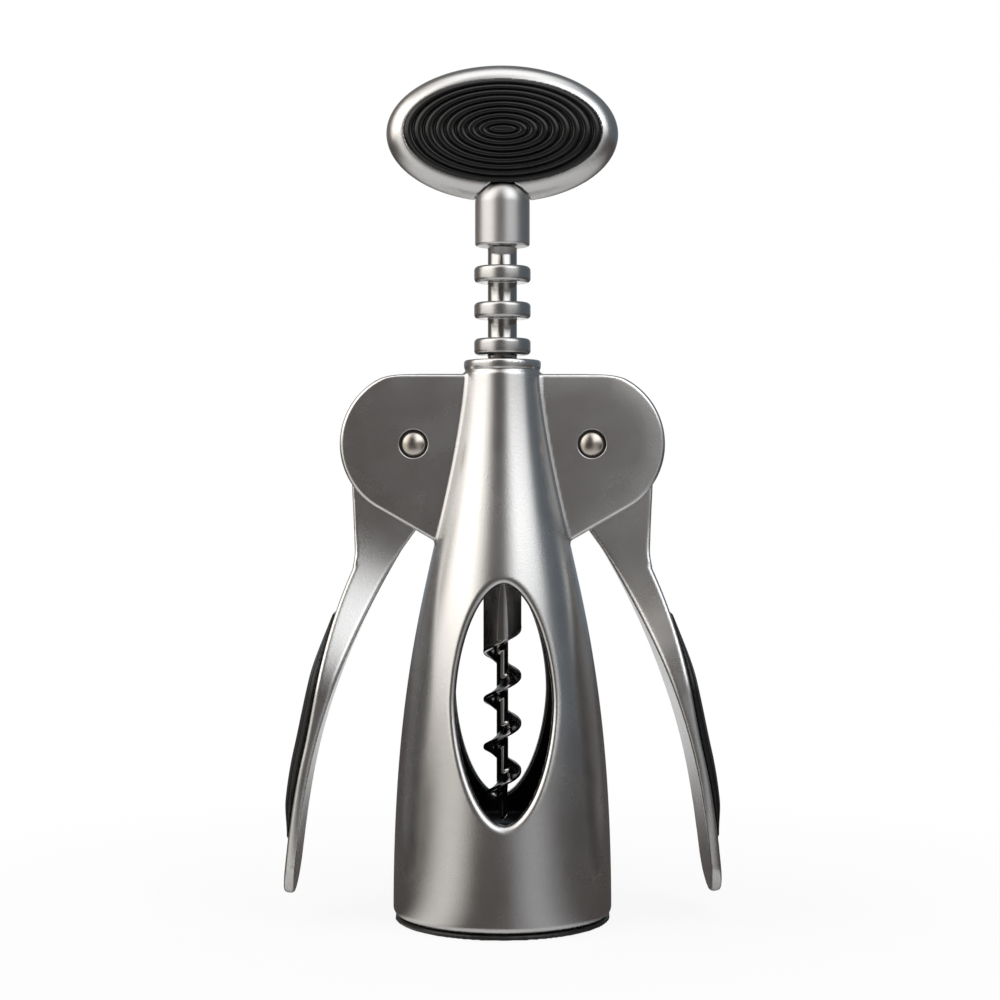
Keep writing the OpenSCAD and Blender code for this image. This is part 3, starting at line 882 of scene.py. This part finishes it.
satin = satin_metal("satin_casting", 0.62, 0.26)
satin_handle = satin_metal("satin_handle", 0.68, 0.26, 0.8)
satin_lever = satin_metal("satin_lever", 0.62, 0.28, 1.0)
satin_ferrule = satin_metal("satin_ferrule", 0.6, 0.36, 0.8)
# painted shade: a near-black copy of the satin casting finish, for the gap floors round the pins where shade
# falls
painted_shade_satin = satin_metal("satin_painted_gap_shade", 0.08, 0.5)
rubber = soft_black()
liner = soft_black("liner_plastic", 0.01, 0.3)
pin_finish = pin_metal()
stem_finish = stem_metal()
worm_finish = dark_steel()


# ---------------------------------------------------------------- pieces

def mirrored(points, faces, ways):
    """The left-hand copy of a right-hand mesh."""
    flip = np.array([-1, 1, 1])
    return points * flip, faces[:, ::-1], ways * flip


def make_casting():
    half = np.array([shell_high[0], shell_high[1], 0])
    low = np.array([-half[0], -half[1], FOOT_Z])
    high = np.array([half[0], half[1], BODY_H])
    return field_piece("casting", casting_field, low, high, 0.5, satin, "housing", ("body_shell",))


def make_guide():
    return field_piece("bottle_insert", guide_field, guide_low, guide_high, 0.6, liner,
                       "housing", ("bottle_guide",))


def make_levers():
    """Both levers and their soft pads."""
    for kind, field, low, high, step, finish, slot, node in (
            ("arm", lever_field, lever_low, lever_high, 0.5, satin_lever, "lever_metal", "_lever"),
            ("grip", lever_pad_field, lever_pad_low, lever_pad_high, 0.4, rubber, "soft_black", "_lever_pad")):
        points, quads = surface_net(field, low, high, step)
        ways, worn = slopes(field, points, 0.4), outer_edges(field, points, 0.7, 0.9)
        add_mesh(f"right_{kind}", points, quads, finish, "right_wing", ("right" + node,), ways, worn)
        points, quads, ways = mirrored(points, quads, ways)
        add_mesh(f"left_{kind}", points, quads, finish, "left_wing", ("left" + node,), ways, worn)


def make_stem():
    points, quads = turned(rack_profile(), 128)
    add_mesh("ringed_stem", points, quads, stem_finish, "rack", ("rack_sleeve",))
    field_piece("worm_screw", worm_field, worm_low, worm_high, 0.22, worm_finish,
                "spindle", ("worm",))


def turned(profile, segments):
    """Turns a closed outline of (radius, height) points round the Z axis."""
    profile = np.asarray(profile, float)
    angle = np.arange(segments) * 2 * math.pi / segments
    points = np.stack([
        np.outer(profile[:, 0], np.cos(angle)),
        np.outer(profile[:, 0], np.sin(angle)),
        np.repeat(profile[:, 1:2], segments, 1)], 2).reshape(-1, 3)
    return points, ring_quads(len(profile), segments, close=True)


def make_pins():
    """Pins with domed heads, and the casting's recesses round them, turned and laid along Y.
    The floor of the gap round each pin is a near-black satin, which is painted shade.
    """
    reach, head = pin_high[1], 0.9
    edge = reach - head
    radius = (PIN_R ** 2 + head ** 2) / (2 * head)
    cap = [(radius * math.sin(a), reach - radius * (1 - math.cos(a)))
           for a in np.linspace(0.002, math.asin((PIN_R - 0.1) / radius), 14)]
    pin = [(r, -h) for r, h in cap] + [(PIN_R, -edge), (PIN_R, edge)] + [(r, h) for r, h in reversed(cap)]
    hole, face, floor, outside = PIN_R + 0.45, EAR_HALF + 0.02, EAR_HALF - 0.95, PIN_R + 2.4
    gap = [(PIN_R + 0.01, SLOT_HALF + 0.1), (PIN_R + 0.01, floor), (hole, floor), (hole, face - 0.3),
           (hole + 0.02, face - 0.3), (hole + 0.02, SLOT_HALF + 0.1)]
    recess = [(hole + 0.01, SLOT_HALF + 0.1), (hole + 0.01, face - 0.24), (hole + 0.04, face - 0.12),
              (hole + 0.12, face - 0.03), (hole + 0.22, face), (hole + 0.26, face), (hole + 0.3, face),
              (outside, face), (outside, SLOT_HALF + 0.1)]
    for side, sign in (("right", 1), ("left", -1)):
        place = np.array([sign * PIVOT_X, 0, PIVOT_Z])
        points, quads = laid(pin, 64)
        add_mesh(f"{side}_pin", points + place, quads, pin_finish, "housing",
                 (f"{side}_pivot_pin",))
        for end, turn in (("front", 1), ("back", -1)):
            # the gap floors take the near-black satin as painted shade
            for kind, line, finish in (("recess", recess, satin), ("gap", gap, painted_shade_satin)):
                points, quads = laid([(r, -turn * h) for r, h in line][::turn], 96)
                add_mesh(f"{side}_{kind}_{end}", points + place, quads, finish, "housing")


def laid(profile, segments):
    """A turned piece whose axis runs along Y; the outline's heights become Y."""
    points, quads = turned(profile, segments)
    return points[:, [0, 2, 1]] * np.array([1, 1, -1]), quads


def make_handle():
    field_piece("ferrule", ferrule_field, ferrule_low, ferrule_high, 0.25, satin_ferrule,
                "spindle", ("handle_ferrule",))
    field_piece("handle_rim", rim_field, rim_low, rim_high, 0.32, satin_handle,
                "spindle", ("handle_frame",))
    points, quads = grip_pad()
    add_mesh("grip_front", points, quads, rubber, "spindle", ("handle_pad_front",))
    add_mesh("grip_back", points * np.array([1, -1, 1]), quads[:, ::-1], rubber, "spindle",
             ("handle_pad_back",))


def grip_pad():
    """Ribbed oval pad: nine nested ovals, each a step further out, with a narrow groove between them."""
    count, grooves = 224, 8
    edge_a, edge_b = pad_high[0], (pad_high[2] - pad_low[2]) / 2
    core_a, core_b = 0.152 * edge_a, 0.088 * edge_b
    base, crown = -pad_high[1], -pad_low[1]
    angle = np.arange(count) * 2 * math.pi / count
    rows = []

    def row(s, depth):
        a = core_a + (edge_a - core_a) * s / grooves
        b = core_b + (edge_b - core_b) * s / grooves
        rows.append(np.stack([a * np.cos(angle), np.full(count, -depth), b * np.sin(angle) + HANDLE_Z], 1))

    centre = -core_b / (edge_b - core_b) * grooves + 0.03
    row(centre, base)
    row(grooves, base)
    shoulder = RIM_HALF + 0.02
    row(grooves, shoulder)
    for s in np.arange(grooves, centre, -0.045):
        rho = (s - centre) / (grooves - centre)
        dome = shoulder + (crown - 0.15 - shoulder) * (1 - rho ** 2.4) ** 0.6
        gap = s - round(s)
        groove = 0.45 * math.exp(-(gap / 0.14) ** 2) if s > -0.4 else 0.0
        land = 0.1 * math.cos(2 * math.pi * gap)
        row(s, dome - groove - land)
    row(centre, crown - 0.15)
    points = np.concatenate(rows)
    return points, ring_quads(len(rows), count, close=True)


make_casting()
make_guide()
make_levers()
make_stem()
make_pins()
make_handle()


# ---------------------------------------------------------------- studio

def around(azimuth, elevation, distance, centre):
    """Point at an azimuth round the object: 0 is the photograph's side, positive is to the right."""
    a, e = math.radians(azimuth), math.radians(elevation)
    return Vector((math.sin(a) * math.cos(e), -math.cos(a) * math.cos(e), math.sin(e))) * distance + centre


def softbox(name, azimuth, elevation, distance, size, level, colour=(1, 1, 1)):
    """Rectangular lamp that faces the object, brightest in its middle; level is its radiance there."""
    middle = Vector((0, 0, 0.095))
    for part, (share, weight) in enumerate(((1.2, 0.3), (0.9, 0.35), (0.6, 0.35))):
        data = bpy.data.lights.new(f"{name}_{part}", "AREA")
        data.shape = "RECTANGLE"
        data.size, data.size_y = size[0] * share, size[1] * share
        data.energy = weight * level * math.pi * data.size * data.size_y
        data.color = colour
        lamp = bpy.data.objects.new(f"{name}_{part}", data)
        bpy.context.scene.collection.objects.link(lamp)
        lamp.location = around(azimuth, elevation, distance + 0.01 * part, middle)
        lamp.rotation_euler = (lamp.location - middle).to_track_quat("Z", "Y").to_euler()
        lamp.visible_camera = False


def make_stage():
    """Round white floor, the world and three soft lamps."""
    mesh = bpy.data.meshes.new("floor")
    ring = [(4 * math.cos(a), 4 * math.sin(a), 0) for a in np.arange(48) * math.pi / 24]
    mesh.from_pydata(ring, [], [tuple(range(48))])
    mesh.materials.append(floor_material())
    floor = bpy.data.objects.new("floor", mesh)
    bpy.context.scene.collection.objects.link(floor)
    studio_world()
    softbox("key_left", -68, 32, 1.15, (1.5, 1.35), 2.0, (1.0, 0.975, 0.925))
    softbox("fill_right", 38, 37, 1.15, (1.05, 1.0), 1.9, (0.975, 0.99, 1.0))
    softbox("top", 0, 82, 1.1, (1.0, 0.9), 1.4)


def make_camera():
    """Level camera a little left of the window's axis, as the photograph was taken."""
    distance, height, yaw = 0.455, 0.0985, math.radians(-1.2)
    photo, scale = 1000, 0.0002233
    axis_px, foot_px = 502.4, 917
    data = bpy.data.cameras.new("camera")
    data.sensor_width = 36
    data.lens = 36 * distance / scale / photo
    data.shift_x = (photo / 2 - axis_px) / photo
    data.shift_y = (foot_px - photo / 2 - height / scale) / photo
    camera = bpy.data.objects.new("camera", data)
    bpy.context.scene.collection.objects.link(camera)
    camera.location = (math.sin(yaw) * distance, -math.cos(yaw) * distance, height)
    camera.rotation_euler = (math.pi / 2, 0, yaw)
    data.clip_start, data.clip_end = 0.01, 50
    bpy.context.scene.camera = camera


make_stage()
make_camera()
bpy.context.scene.view_settings.view_transform = "Standard"
